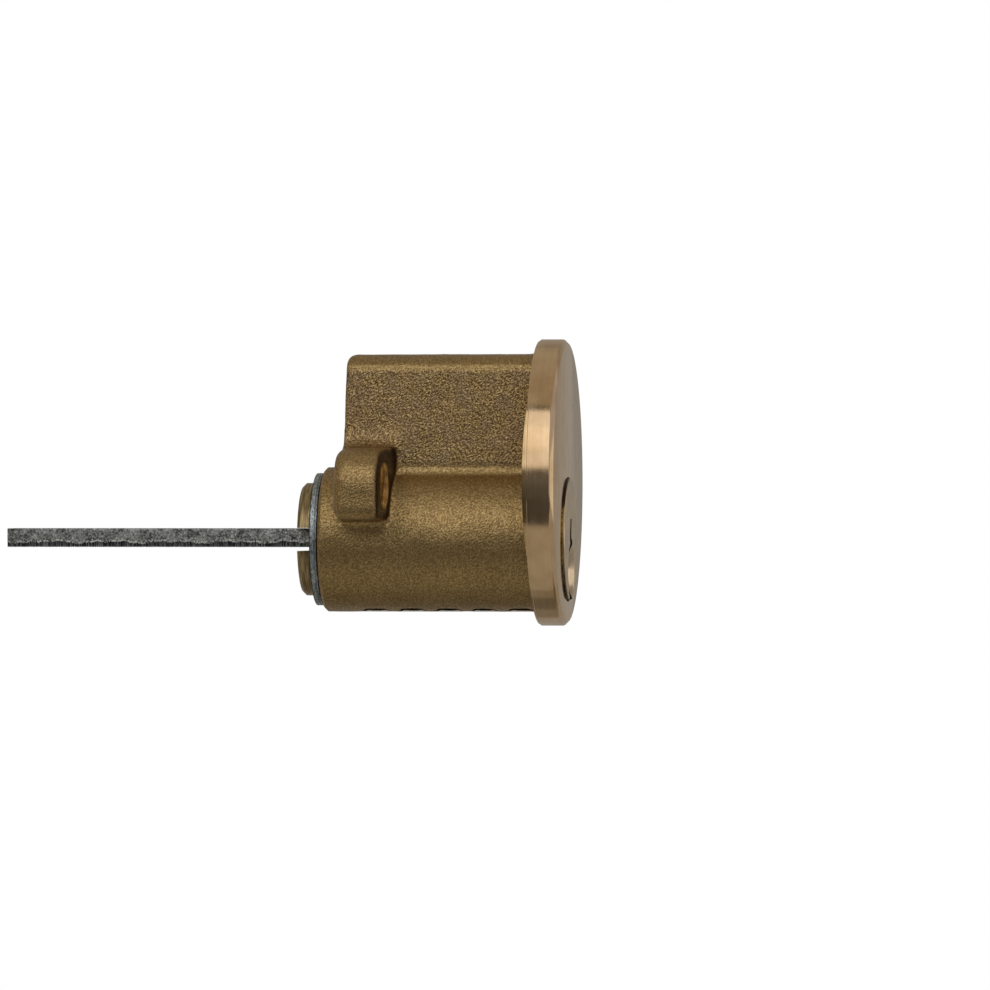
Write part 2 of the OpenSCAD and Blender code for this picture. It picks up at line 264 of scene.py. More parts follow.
# %% Forged brass
def forged_brass():
    finish = Finish("forged_brass")
    place = finish.place()
    x, y, z = finish.axes()
    # The flat sides of the housing took the hardest blasting: above the fillet, below the rounded top
    flat_side = z.band(1.7, 2.5) * (1 - z.band(12.7, 13.1)) * (1 - abs(x).band(4.5, 6.0))
    # The shot came in at a slant, so the dents are a little longer one way
    grain = finish.noise(finish.point(x * 4.6, (z - y) * 2.3, (z + y) * 4.0), 1.0, 1.0, 0.5)
    grit = finish.noise(place, 9.0, 1.0, 0.5)
    drift = finish.noise(place, 0.22, 2.0, 0.5)
    stain = finish.noise(place, 0.5, 2.0, 0.6)
    height = (grain * 0.7 + grit * 0.3) * (0.5 + 0.7 * flat_side)
    relief = grain * 0.5 + grit * 0.5
    peaks = relief.band(0.4, 0.6)
    glint_specks = relief.band(0.59, 0.68)
    pit = finish.mix(drift, rgb(82, 62, 40), rgb(104, 82, 52))
    peak = finish.mix(drift, rgb(188, 156, 100), rgb(210, 178, 120))
    colour = finish.mix(peaks * (0.45 + 0.45 * flat_side) + 0.26 - 0.2 * flat_side, pit, peak)
    # Where the blasting was hardest, the brass is greyer in broad patches
    colour = finish.mix(flat_side * 0.4 * stain.band(0.35, 0.65), colour, rgb(146, 122, 100))
    # Painted glints: the brightest specks of the grain are painted near white
    colour = finish.mix(glint_specks * (0.2 + 0.4 * flat_side), colour, rgb(236, 214, 168))
    # Painted shade: the faces that look to the front, towards the flange, are painted dark
    facing = finish.node("ShaderNodeTexCoord", output=1)
    front = finish.node("ShaderNodeSeparateXYZ", sockets={0: facing}, output=1) * -1
    colour = finish.mix(front.band(0.55, 0.9) * 0.88, colour, rgb(62, 50, 44))
    finish.surface(
        Base_Color=colour,
        Metallic=1.0,
        Roughness=0.48 - 0.12 * peaks,
        Normal=finish.bump(height, 0.16, 1.0),
    )
    return finish.material


# %% [markdown]
# ## Turned brass
#
# A lathe tool leaves fine rings. On the rim they run round the part, so the pattern changes along Y alone. On
# the face they are circles about the middle, so it changes with the distance from it. One vector holds both:
# the radius in X and the length in Y, squeezed hard, which gives rings everywhere on a turned surface.

# %% Turned brass
def turned_brass(name, light, dull):
    finish = Finish(name)
    x, y, z = finish.axes()
    radius = from_axis(x, z)
    rings = finish.noise(finish.point(radius, y, 0.0), 14.0, 2.0, 0.6)
    around = finish.noise(finish.place((0.5, 14.0, 0.5)), 1.0, 2.0, 0.6)
    lay = rings * 0.5 + around * 0.5
    streaks = finish.noise(finish.point(radius * 2.6, y * 2.6, z * 0.06), 1.0, 3.0, 0.6).band(0.3, 0.7)
    stain = finish.noise(finish.place(), 0.35, 3.0, 0.55)
    colour = finish.mix(stain.band(0.35, 0.75), rgb(*light), rgb(*dull))
    colour = finish.mix((1 - lay.band(0.3, 0.7)) * 0.07 + (1 - streaks) * 0.12, colour, rgb(96, 74, 44))
    pits = finish.noise(finish.place((2.2, 0.0, 3.2)), 1.0, 2.0, 0.7).band(0.63, 0.7)
    face = 1 - y.band(flange_front + 0.02, flange_front + 0.06)
    colour = finish.mix(pits * face * 0.3, colour, rgb(120, 92, 60))
    finish.surface(
        Base_Color=colour,
        Metallic=1.0,
        Roughness=0.08 + 0.06 * lay + 0.05 * streaks,
        Normal=finish.bump(lay, 0.01, 0.5),
    )
    return finish.material


# %% [markdown]
# ## Bored and broached brass
#
# The drilled chambers and the threads are bright and plain. What nothing rubs has tarnished and lies in
# shade: the bore, the keyway and the ring round the plug. Dark walls could be left to shadow alone, but a gap
# this narrow mirrors the white backdrop, so they get a dark metal of their own: tarnish and painted shade in
# one.

# %% Bored brass, and tarnish with painted shade
def bored_brass():
    finish = Finish("bored_brass")
    lay = finish.noise(finish.place((1.0, 9.0, 1.0)), 1.2, 2.0, 0.6)
    colour = finish.mix(lay.band(0.35, 0.7), rgb(216, 190, 138), rgb(242, 222, 180))
    finish.surface(Base_Color=colour, Metallic=1.0, Roughness=0.22, Normal=finish.bump(lay, 0.01, 0.4))
    return finish.material


def tarnish_and_shade_brass():
    """What no tool or key rubs, tarnished and painted dark as shade: the bore, the keyway and the ovals round
    the closing plugs.
    """
    finish = Finish("tarnish_and_shade_brass")
    rings = finish.noise(finish.place((1.2, 7.0, 1.2)), 1.0, 3.0, 0.65)
    blots = finish.noise(finish.place(), 1.4, 2.0, 0.6)
    rubbed = (rings * 0.6 + blots * 0.4).band(0.46, 0.6)
    colour = finish.mix(rubbed, rgb(44, 36, 27), rgb(124, 100, 62))
    finish.surface(Base_Color=colour, Metallic=0.9, Roughness=0.4, Normal=finish.bump(rings, 0.03, 0.6))
    return finish.material


# %% [markdown]
# ## The plug's brass
#
# One piece of brass, with four looks. Its face is greyer than the flange, with the dints and scratches of a
# packing drum. The side of its head is gold between dark tool marks, with painted shade above and below and
# inside the flange's mouth, the tail is brown, and painted shade lies beside the clip. Four materials would
# leave a hard line between them, so one material fades from each to the next by place: bands of Y, and of the
# distance from the plug's axis.

# %% Plug brass
def plug_brass():
    finish = Finish("plug_brass")
    x, y, z = finish.axes()
    height = z - plug_z
    radius = from_axis(x, height)
    rings = finish.noise(finish.point(radius, y, 0.0), 9.0, 2.0, 0.6)
    # The scratches all lean one way
    scratches_at = finish.point((x + z) * 4.0, y, (x - z) * 0.5)
    scratches = finish.noise(scratches_at, 1.0, 2.0, 0.7, Distortion=1.2)
    dints = finish.noise(finish.place(), 3.0, 3.0, 0.7)
    wear = scratches.band(0.58, 0.68) * 0.6 + dints.band(0.56, 0.7) * 0.6
    cloud = finish.noise(finish.place(), 0.5, 3.0, 0.6)
    colour = finish.mix(cloud.band(0.35, 0.7), rgb(178, 162, 138), rgb(200, 180, 148))
    colour = finish.mix(wear * 0.35, colour, rgb(232, 218, 186))
    # The side of the head and the tail are never wiped, so they have tarnished between the tool marks. The
    # head's side is also painted dark above and below, as shade, which leaves a painted gold highlight in its
    # middle
    marks = finish.noise(finish.place((0.4, 6.0, 0.4)), 1.0, 2.0, 0.6)
    side = radius.band(head_r - 0.05, head_r - 0.02)
    gold = finish.mix(marks.band(0.4, 0.62), rgb(120, 96, 54), rgb(226, 196, 122))
    shade_above_below = height.band(3.2, 4.4) + (height * -1).band(1.0, 3.0) * 0.7
    colour = finish.mix(side, colour, finish.mix(shade_above_below, gold, rgb(66, 52, 36)))
    # Painted shade: inside the flange's mouth the side of the head is painted near black
    ragged = y + (finish.noise(finish.place(), 2.4, 2.0, 0.6) - 0.5) * 0.3
    colour = finish.mix(side * ragged.band(flange_front - 0.08, flange_front), colour, rgb(40, 32, 24))
    tail = y.band(barrel_end + 0.4, barrel_end + 0.7)
    brown = finish.mix(marks.band(0.4, 0.62), rgb(116, 98, 64), rgb(166, 144, 102))
    colour = finish.mix(tail * 0.95, colour, brown)
    # Painted shade: beside the clip, the gap is painted dark
    painted_gap_shade_end = (y + marks * 0.3).band(clip_high.y + 0.3, clip_high.y + 0.45)
    painted_gap_shade = y.band(clip_low.y - 0.2, clip_low.y) * (1 - painted_gap_shade_end)
    colour = finish.mix(painted_gap_shade * 0.85, colour, rgb(36, 31, 26))
    finish.surface(
        Base_Color=colour,
        Metallic=1.0,
        Roughness=0.3 + 0.12 * cloud,
        Normal=finish.bump(rings * 0.5 + wear * 0.3, 0.012, 0.5),
    )
    return finish.material


# %% [markdown]
# ## Closing plugs and pins
#
# The closing plugs show as five bright dashes under the barrel, because only their ends were ground. The pins
# are turned from brass and steel rod, with fine rings along their length.

# %% Closing plugs and pins
def closure_brass():
    """Bright only on the ground end: the sides are painted black, as the shade inside the oval round each
    plug.
    """
    finish = Finish("closure_brass")
    z = finish.axes()[2]
    blots = finish.noise(finish.place(), 2.5, 2.0, 0.6)
    side = (z - plug_z + barrel_r + blots * 0.08).band(0.14, 0.2)
    colour = finish.mix(blots.band(0.35, 0.65), rgb(206, 192, 176), rgb(236, 222, 206))
    colour = finish.mix(side, colour, rgb(22, 18, 15))
    finish.surface(Base_Color=colour, Metallic=1.0, Roughness=0.24)
    return finish.material


def pin_metal(name, first, second, roughness):
    finish = Finish(name)
    lay = finish.noise(finish.place((1.0, 1.0, 12.0)), 1.0, 2.0, 0.6)
    colour = finish.mix(lay.band(0.35, 0.7), rgb(*first), rgb(*second))
    finish.surface(
        Base_Color=colour,
        Metallic=1.0,
        Roughness=roughness + 0.08 * lay,
        Normal=finish.bump(lay, 0.006, 0.5),
    )
    return finish.material


# %% [markdown]
# ## Sheared steel
#
# The tail bar is blanked from steel strip. The punch leaves a smooth band at the top of the edge and a torn
# one below, and a thin bright lip between the two. The mesh has the same tear, so both read one formula:
# Python's numbers go through it for the mesh, and wires for the material.

# %% Bar steel
def tear_line(y, sine):
    """Height of the tear above the strip's underside. sine works on numbers and on wires alike."""
    return 0.66 + 0.09 * sine(y * 0.9 + 1) + 0.07 * sine(y * 1.7 + 2) + 0.05 * sine(y * 4.1)


def sheared_steel():
    finish = Finish("bar_steel")
    y, z = finish.axes()[1:]
    above = z - bar_low.z
    mottle = finish.noise(finish.place((1.0, 0.7, 1.2)), 0.9, 3.0, 0.6)
    grit = finish.noise(finish.place((0.5, 1.0, 1.0)), 4.6, 2.0, 0.7)
    ragged = finish.noise(finish.place((0.0, 1.0, 0.0)), 4.5, 4.0, 0.75)
    line = tear_line(y, lambda wire: wire.maths("SINE", wire))
    past_tear = above - line - (ragged - 0.5) * 0.6
    # The torn part stays only on the edges: the top of the strip is above it, and its underside is rolled
    edge = above.band(0.02, 0.08)
    torn = (1 - past_tear.band(-0.05, 0.05)) * edge
    lip = (1 - abs(past_tear).band(0.05, 0.16)) * edge
    streaks = finish.noise(finish.place((2.0, 9.0, 0.5)), 1.0, 2.0, 0.6)
    smooth = finish.mix((mottle * 0.4 + grit * 0.6).band(0.34, 0.66), rgb(66, 68, 65), rgb(190, 190, 183))
    smooth = finish.mix(grit.band(0.6, 0.66) * 0.5, smooth, rgb(238, 238, 230))
    rough = finish.mix(streaks.band(0.4, 0.7), rgb(40, 42, 44), rgb(128, 130, 126))
    colour = finish.mix(torn, smooth, rough)
    colour = finish.mix(lip * grit.band(0.4, 0.6), colour, rgb(240, 238, 230))
    height = mottle * (1 - torn) * 0.6 + streaks * torn + grit * 0.4
    finish.surface(
        Base_Color=colour,
        Metallic=1.0,
        Roughness=0.46 + 0.12 * mottle + 0.1 * torn,
        Normal=finish.bump(height, 0.05, 0.6),
    )
    return finish.material


# %% [markdown]
# ## Zinc plate
#
# The clip was plated in a barrel with a thousand others, which leaves a soft frosting. Only its thin edge
# shows, so the pattern that matters runs across that: painted shade beside the barrel, the blanking line,
# and a dark corner.

# %% Clip zinc
def zinc():
    finish = Finish("clip_steel")
    y = finish.axes()[1]
    frost = finish.noise(finish.place((1.0, 3.0, 1.0)), 2.6, 3.0, 0.65)
    ragged = y + (finish.noise(finish.place(), 2.2, 2.0, 0.6) - 0.5) * 0.16
    colour = finish.mix(frost.band(0.36, 0.64), rgb(104, 110, 110), rgb(188, 194, 192))
    # The blanking line runs round the middle of its edge, and beside the barrel the edge is painted dark, as
    # shade
    line = 1 - abs(ragged - clip_low.y - 0.3).band(0.04, 0.13)
    painted_gap_shade = 1 - ragged.band(clip_low.y + 0.1, clip_low.y + 0.15)
    tail = ragged.band(clip_high.y - 0.13, clip_high.y - 0.08)
    colour = finish.mix(line * 0.6, colour, rgb(66, 70, 70))
    colour = finish.mix(painted_gap_shade * 0.9, colour, rgb(24, 24, 22))
    colour = finish.mix(tail * 0.8, colour, rgb(40, 42, 42))
    finish.surface(
        Base_Color=colour,
        Metallic=1.0,
        Roughness=0.38 + 0.14 * frost,
        Normal=finish.bump(frost, 0.03, 0.6),
    )
    return finish.material


# %% The finishes of this part
FORGED = forged_brass()
TURNED = turned_brass("turned_brass", light=(222, 190, 148), dull=(206, 172, 128))
BORED = bored_brass()
PLUG = plug_brass()
TARNISH_AND_SHADE = tarnish_and_shade_brass()
STEEL = sheared_steel()
ZINC = zinc()
KEY_PIN = pin_metal("pin_brass", (196, 158, 88), (222, 186, 116), 0.28)
DRIVER = pin_metal("driver_steel", (168, 168, 164), (200, 200, 196), 0.26)
WIRE = pin_metal("spring_steel", (150, 150, 148), (190, 190, 188), 0.3)
LAND = turned_brass("land_brass", light=(216, 186, 136), dull=(188, 158, 108))
CLOSURE = closure_brass()
GUIDE = turned_brass("guide_brass", light=(218, 192, 154), dull=(200, 174, 136))
print("materials:", len(bpy.data.materials))

# %% [markdown]
# ## The workshop
#
# Four small tools stand for the machines that make such a part. `traced` pulls one vertex along an outline,
# `spun` is the lathe, `pulled` gives an outline its depth, and `cut` is every drill, mill and weld: one
# Boolean that carries the tool's material onto the faces that it leaves.

# %% Selecting, cutting and joining
# Points closer than this, in millimetres, become one
MERGE = 0.0005


def only(*pieces):
    if bpy.context.mode != "OBJECT":
        bpy.ops.object.mode_set(mode="OBJECT")
    bpy.ops.object.select_all(action="DESELECT")
    for piece in pieces:
        piece.select_set(True)
    if pieces:
        bpy.context.view_layer.objects.active = pieces[0]


def edit(piece):
    only(piece)
    bpy.ops.object.mode_set(mode="EDIT")
    bpy.ops.mesh.select_mode(type="VERT")
    bpy.ops.mesh.select_all(action="SELECT")


def made(name, material):
    """Names the newest object, gives it its material and settles its place into its mesh."""
    piece = bpy.context.object
    piece.name = name
    piece.data.materials.clear()
    piece.data.materials.append(material)
    only(piece)
    bpy.ops.object.transform_apply(location=True, rotation=True, scale=True)
    return piece


def modified(piece, kind, **settings):
    only(piece)
    bpy.ops.object.modifier_add(type=kind)
    modifier = piece.modifiers[-1]
    for key, value in settings.items():
        setattr(modifier, key, value)
    bpy.ops.object.modifier_apply(modifier=modifier.name)
    return piece


def cut(piece, tool, operation="DIFFERENCE"):
    settings = {"operation": operation, "object": tool, "solver": "EXACT", "material_mode": "TRANSFER"}
    modified(piece, "BOOLEAN", **settings)
    bpy.data.objects.remove(tool)
    return piece


def joined(pieces):
    only(*pieces)
    bpy.ops.object.join()
    return pieces[0]


def facing_out(piece):
    edit(piece)
    bpy.ops.mesh.remove_doubles(threshold=MERGE)
    bpy.ops.mesh.normals_make_consistent(inside=False)
    only(piece)
    return piece


# %% [markdown]
# Most shapes of this part start as an outline on the drawing. A mesh could be listed point by point, but
# then the script would read as numbers. These tools work as one does by hand: trace the outline, then spin
# it, pull it or fill it.

# %% Outlines, lathe and rods
def traced(name, points, material):
    """Pulls one vertex along a line of points."""
    only()
    bpy.ops.mesh.primitive_plane_add(size=1)
    piece = made(name, material)
    edit(piece)
    bpy.ops.mesh.merge(type="CENTER")
    bpy.ops.transform.translate(value=points[0])
    for here, there in zip(points, points[1:]):
        step = Vector(there) - Vector(here)
        bpy.ops.mesh.extrude_vertices_move(TRANSFORM_OT_translate={"value": step})
    only(piece)
    return piece


def spun(name, profile, material, centre_z=0.0, sides=192):
    """Turns a profile of (radius, y) points about the axis at centre_z."""
    piece = traced(name, [(radius, y, centre_z) for radius, y in profile], material)
    edit(piece)
    bpy.ops.mesh.spin(steps=sides, angle=math.tau, center=(0, 0, centre_z), axis=(0, 1, 0))
    return facing_out(piece)


def filled(name, outline, material):
    """A flat face inside an outline of (x, y, z) points, left in edit mode."""
    piece = traced(name, outline + [outline[0]], material)
    edit(piece)
    bpy.ops.mesh.remove_doubles(threshold=MERGE)
    bpy.ops.mesh.edge_face_add()
    return piece


def pulled(name, outline, depth, material):
    """Fills an outline and pulls it along the vector depth."""
    piece = filled(name, outline, material)
    bpy.ops.mesh.extrude_region_move(TRANSFORM_OT_translate={"value": depth})
    return facing_out(piece)


def rod(name, radius, start, end, material, sides, tip=None):
    """A round bar between two points; with tip, a cone that ends in that radius."""
    start, end = Vector(start), Vector(end)
    length = (end - start).length
    turn = (end - start).to_track_quat("Z", "Y").to_euler()
    place = {"location": (start + end) / 2, "rotation": turn, "depth": length, "vertices": sides}
    only()
    if tip is None:
        bpy.ops.mesh.primitive_cylinder_add(radius=radius, **place)
    else:
        bpy.ops.mesh.primitive_cone_add(radius1=radius, radius2=tip, **place)
    return made(name, material)


def arc(x, z, radius, start, end, steps=8):
    """Points of an arc about (x, z), its angles in degrees."""
    angles = [math.radians(start + (end - start) * i / steps) for i in range(steps + 1)]
    return [(x + radius * math.cos(a), z + radius * math.sin(a)) for a in angles]


def both_sides(half):
    """A half outline on the right, closed by its mirror image on the left."""
    return half + [(-x, z) for x, z in reversed(half)]


# %% Bevels and hand-over
def bevel_where(piece, chosen, width, segments, clamp=True):
    """Bevels the edges for which chosen(first end, last end) holds."""
    edit(piece)
    bpy.ops.mesh.select_all(action="DESELECT")
    bpy.ops.mesh.select_mode(type="EDGE")
    bpy.ops.object.mode_set(mode="OBJECT")
    spots = piece.data.vertices
    for edge in piece.data.edges:
        edge.select = chosen(*(spots[v].co for v in edge.vertices))
    bpy.ops.object.mode_set(mode="EDIT")
    bpy.ops.mesh.bevel(offset=width, segments=segments, clamp_overlap=clamp)
    only(piece)
    return piece


def finished(piece, body, slot, *replaced, angle=32):
    """Shrinks a piece to metres, shades it and hands it to the frame."""
    only(piece)
    piece.scale = (MM, MM, MM)
    bpy.ops.object.transform_apply(location=True, rotation=True, scale=True)
    bpy.ops.object.shade_smooth_by_angle(angle=math.radians(angle))
    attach(piece, body)
    if replaced:
        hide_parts(*replaced)
    print(piece.name, len(piece.data.polygons), "faces")


# %% [markdown]
# ## The forging
#
# A forged blank has no sharp corners: hot brass doesn't fill them. It could be modelled with one bevel on
# every edge, but bevels meet badly where a lug, the housing and the barrel run into each other. So the blank
# is built roughly from a few pieces, joined, and remeshed into one skin of small even faces. Smoothing that
# skin rounds each corner and fills each inner one, as the press does.

# %% Barrel and housing
# The blank starts inside the flange, which is joined on later
ROOT = -1.6
# Smoothing shrinks the barrel, so it starts a little thicker
forged_r = barrel_r + 0.05
fillet = 1.5
fillet_x = housing_half_w + fillet
fillet_rise = math.sqrt((barrel_r + fillet) ** 2 - fillet_x ** 2)
fillet_sweep = math.degrees(math.atan(fillet_rise / fillet_x))


def barrel_blank():
    return rod("barrel_blank", forged_r, (0, ROOT, plug_z), (0, barrel_end + 1, plug_z), FORGED, 128)


def housing_blank(grow=0, reach=None):
    """The section from the front, cut by the outline from the side, with its leaning tail face.

    grow thickens the section, and reach makes it only a collar that ends at that y.
    """
    half = [(1.0, plug_z)]
    half += arc(fillet_x, plug_z + fillet_rise, fillet, 180 + fillet_sweep, 180)
    # A tight corner that opens into a shallow crown
    tight, crown = 0.9, 3.8
    shift = (crown - tight) * math.sqrt(0.5)
    corner_x, corner_z = housing_half_w - tight, housing_top - crown + shift
    half += arc(corner_x, corner_z + grow, tight, 0, 45, 4)
    half += arc(corner_x - shift, housing_top - crown + grow, crown, 45, 90, 6)[1:]
    outline = [(x, ROOT, z) for x, z in both_sides([(x + grow, z) for x, z in half])]
    if reach:
        return pulled("housing_root", outline, (0, reach - ROOT, 0), FORGED)
    piece = pulled("housing_blank", outline, (0, housing_end - ROOT + 1, 0), FORGED)
    lean, corner = 0.25, 1.0
    side = [(ROOT - 1, plug_z - 1), (housing_end, plug_z - 1), (housing_end, 4)]
    side += arc(housing_end - lean - corner, housing_top - corner, corner, 0, 90)
    side += [(ROOT - 1, housing_top)]
    tool = pulled("side_outline", [(-10, y, z) for y, z in side], (20, 0, 0), FORGED)
    return cut(piece, tool, "INTERSECT")


# %% Lugs
def lug_blank(side):
    """The section from the front, cut by the plan, which has the die's draft and a fillet at the housing."""
    lug_r, below, corner, inner, under = 4.3, 3.95, 1.2, 2.3, 1.1
    outer = screw_x + lug_r
    top, bottom = screw_z + lug_r, screw_z - below
    wall = barrel_r - 0.1
    outline = [(1.0, bottom - under)]
    outline += arc(wall + under, bottom - under, under, 180, 90, 6)
    outline += arc(outer - corner, bottom + corner, corner, -90, 0, 6)
    outline += arc(screw_x, screw_z, lug_r, 0, 90, 16)
    outline += arc(housing_half_w + inner, top + inner, inner, 270, 180)
    outline += [(1.0, top + inner)]
    depth = 9.0
    outline = [(side * x, housing_end - depth, z) for x, z in outline]
    piece = pulled("lug_blank", outline, (0, depth, 0), FORGED)
    root_y, tip_y, cove = housing_end - 5.95, housing_end - 5.3, 0.8
    slope = (tip_y - root_y) / (outer - housing_half_w)
    plan = [(0, root_y - cove), (housing_half_w, root_y - cove)]
    plan += arc(housing_half_w + cove, root_y + slope * cove - cove, cove, 180, 90, 6)
    plan += [(outer + 1, tip_y + slope), (outer + 1, housing_end - 0.2)]
    plan += [(barrel_r, housing_end), (0, housing_end)]
    tool = pulled("plan_outline", [(side * x, y, -12) for x, y in plan], (0, 0, 24), FORGED)
    cut(piece, tool, "INTERSECT")
    # The remesh below mends what these wide bevels overlap
    back = lug_edges(side, housing_half_w + inner, housing_end - 0.3, housing_end + 1)
    bevel_where(piece, back, 1.3, 5, False)
    front = lug_edges(side, barrel_r - 0.2, root_y, tip_y + 0.02)
    bevel_where(piece, front, 0.95, 4, False)
    return piece


def lug_edges(side, beyond, low, high):
    """Chooses the edges of a lug that lie beyond this x, between two planes of y."""
    return lambda a, b: all(side * p.x > beyond and low < p.y < high for p in (a, b))


# %% One skin
# Two thicker collars at the flange melt into the fillet of the housing's root
roots = [housing_blank(0.3, 0.2), housing_blank(0.12, 0.6)]
blank = joined([barrel_blank(), housing_blank(), lug_blank(1), lug_blank(-1)] + roots)
blank.name = "cylinder_shell"
modified(blank, "REMESH", mode="VOXEL", voxel_size=0.2)
modified(blank, "SMOOTH", factor=0.5, iterations=14)


def softened(piece, low, high, repeats):
    """Smooths the skin a little more inside a box."""
    edit(piece)
    bpy.ops.mesh.select_all(action="DESELECT")
    bpy.ops.object.mode_set(mode="OBJECT")
    for vertex in piece.data.vertices:
        spot = (abs(vertex.co.x), vertex.co.y, vertex.co.z)
        vertex.select = all(a < value < b for a, value, b in zip(low, spot, high))
    bpy.ops.object.mode_set(mode="EDIT")
    bpy.ops.mesh.vertices_smooth(factor=0.5, repeat=repeats)
    only(piece)


# The lug's upper fillet runs out into the side of the housing
softened(blank, (2.5, housing_end - 7.6, 3.4), (6.5, housing_end - 4.2, 7.5), 40)
# Under the lug, the fillet runs out into the barrel
softened(blank, (7.4, housing_end - 6.6, screw_z - 6.6), (9.3, housing_end + 0.2, screw_z - 4.3), 40)
print("blank:", len(blank.data.polygons), "faces")

# %% [markdown]
# Hot metal doesn't lie quite flat either. Each vertex of the skin is moved along its normal by a smooth
# noise, a few hundredths of a millimetre, which bends the highlights along the barrel as on the real part.

# %% Waviness
def waved(piece, size, depth, seed):
    """Moves the skin by up to depth, in waves about size long. The seed says where in the noise it lies."""
    offset = Vector((seed, seed * 2.3, seed * 0.7))
    moves = [v.normal * noise.noise(v.co / size + offset) * depth for v in piece.data.vertices]
    for vertex, move in zip(piece.data.vertices, moves):
        vertex.co += move


waved(blank, 3.5, 0.05, 4.0)
waved(blank, 1.1, 0.025, 9.0)
print("barrel now reaches z =", round(min(v.co.z for v in blank.data.vertices), 2), "mm")

# %% [markdown]
# ## Turning and drilling
#
# Now the machine shop. The flange is turned and joined on, with the sloped land that the forging leaves
# behind its rim at each side. The plug's bore, the five chambers and the two tapped holes are tools that the
# Boolean takes away. A chamber is drilled from under the barrel right up into the housing, which is why the
# real barrel has five closing plugs along its lowest line.

# %% Flange
BEVEL = 0.45
corner, lip = 0.1, 0.03
BACK_STEP = 0.16
rim_profile = [
    (0, flange_front),
    (flange_r - BEVEL - corner, flange_front),
    (flange_r - BEVEL, flange_front + lip),
    (flange_r - lip, flange_front + BEVEL),
    (flange_r, flange_front + BEVEL + corner),
    (flange_r, -0.24),
    (flange_r - 0.06, -0.18),
    (flange_r - BACK_STEP, -0.18),
    (flange_r - BACK_STEP, 0),
    (0, 0),
]
flange = spun("flange", rim_profile, TURNED, sides=288)


def land(side):
    height, width, step = 0.35, 2.8, 0.2
    outer = flange_r - step
    wedge = [(outer - width, -1), (outer - width, 0), (outer, height), (outer + 1, height), (outer + 1, -1)]
    outline = [(side * x, y, -flange_r) for x, y in wedge]
    piece = pulled("land", outline, (0, 0, 2 * flange_r), FORGED)
    return cut(piece, rod("land_round", outer, (0, -0.9, 0), (0, 1, 0), LAND, 288), "INTERSECT")


for welded in (flange, land(1), land(-1)):
    cut(blank, welded, "UNION")

EDGE = 0.28
facing = [(0, barrel_end), (barrel_r - EDGE, barrel_end), (barrel_r + 1, barrel_end - EDGE - 1)]
facing += [(barrel_r + 1, barrel_end + 2), (0, barrel_end + 2)]
cut(blank, spun("facing", facing, FORGED, plug_z, 128))
print("with its flange:", len(blank.data.polygons), "faces")

# %% Bore and chambers
MOUTH = 0.1
bore_profile = [
    (0, flange_front - 1),
    (head_bore_r + MOUTH + 1, flange_front - 1),
    (head_bore_r, flange_front + MOUTH),
    (head_bore_r, head_floor),
    (bore_r, head_floor),
    (bore_r, barrel_end + 1),
    (0, barrel_end + 1),
]
cut(blank, spun("bore", bore_profile, TARNISH_AND_SHADE, plug_z))

chamber_floor = plug_z - barrel_r - 1
drill_cone = chamber_r / math.tan(math.radians(59))
drills = []
for y in chamber_ys:
    drills.append(rod("drill", chamber_r, (0, y, chamber_floor), (0, y, chamber_roof), BORED, 64))
    tip_end = (0, y, chamber_roof + drill_cone)
    drills.append(rod("drill_tip", chamber_r, (0, y, chamber_roof), tip_end, BORED, 64, 0))
cut(blank, facing_out(joined(drills)))
print("bored and drilled:", len(blank.data.polygons), "faces")

# %% Ovals
# The mouths are deburred across the barrel, which leaves an oval hollow round each closing plug, painted dark
# as shade
OVAL_X, OVAL_Y, OVAL_TOP, SQUARENESS = 2.5, chamber_r + 0.05, 1.45, 4


def oval(y):
    """A squarish oval round the drill at y: the fourth power fills its corners."""
    outline = []
    for step in range(64):
        c, s = math.cos(math.tau * step / 64), math.sin(math.tau * step / 64)
        out = (abs(c) ** SQUARENESS + abs(s) ** SQUARENESS) ** (-1 / SQUARENESS)
        outline.append((OVAL_X * c * out, y + OVAL_Y * s * out, chamber_floor))
    return pulled("oval", outline, (0, 0, OVAL_TOP), TARNISH_AND_SHADE)


cut(blank, joined([oval(y) for y in chamber_ys]))

# %% [markdown]
# An M5 thread has a pitch of 0.8 mm. The tap is a rod of the core's diameter with a ridge wound round it: a
# small triangle, swept along a helix by the Screw modifier. Welded to the rod it makes one tool, which leaves
# a true thread in both lugs.

# %% Threads
def tap(side):
    pitch, turns, foot, crest = 0.8, 11, 0.36, 0.05
    root_r, crest_r = core_r - 0.05, core_r + 0.38
    x, start = side * screw_x, housing_end - 7.6
    ridge = [(root_r, -foot), (crest_r, -crest), (crest_r, crest), (root_r, foot)]
    points = [(radius, start + y, 0) for radius, y in ridge]
    thread = traced("thread", points + [points[0]], BORED)
    facing_out(thread)
    modified(thread, "SCREW", axis="Y", screw_offset=pitch, iterations=turns, steps=32, render_steps=32)
    edit(thread)
    bpy.ops.mesh.remove_doubles(threshold=MERGE)
    bpy.ops.mesh.select_all(action="DESELECT")
    bpy.ops.mesh.select_non_manifold()
    bpy.ops.mesh.fill_holes(sides=8)
    facing_out(thread)
    thread.location = (x, 0, screw_z)
    only(thread)
    bpy.ops.object.transform_apply(location=True, rotation=True, scale=True)
    shaft = rod("tap", core_r, (x, start - 1, screw_z), (x, housing_end + 1, screw_z), BORED, 64)
    return cut(shaft, thread, "UNION")


def countersink(side):
    face, width = housing_end - 5.55, 0.55
    start, end = (side * screw_x, face - 1, screw_z), (side * screw_x, face + width, screw_z)
    return rod("countersink", core_r + width + 1, start, end, BORED, 64, core_r)


for side in (-1, 1):
    cut(blank, tap(side))
    cut(blank, countersink(side))
finished(blank, "housing", "forged_brass", "cylinder_body")

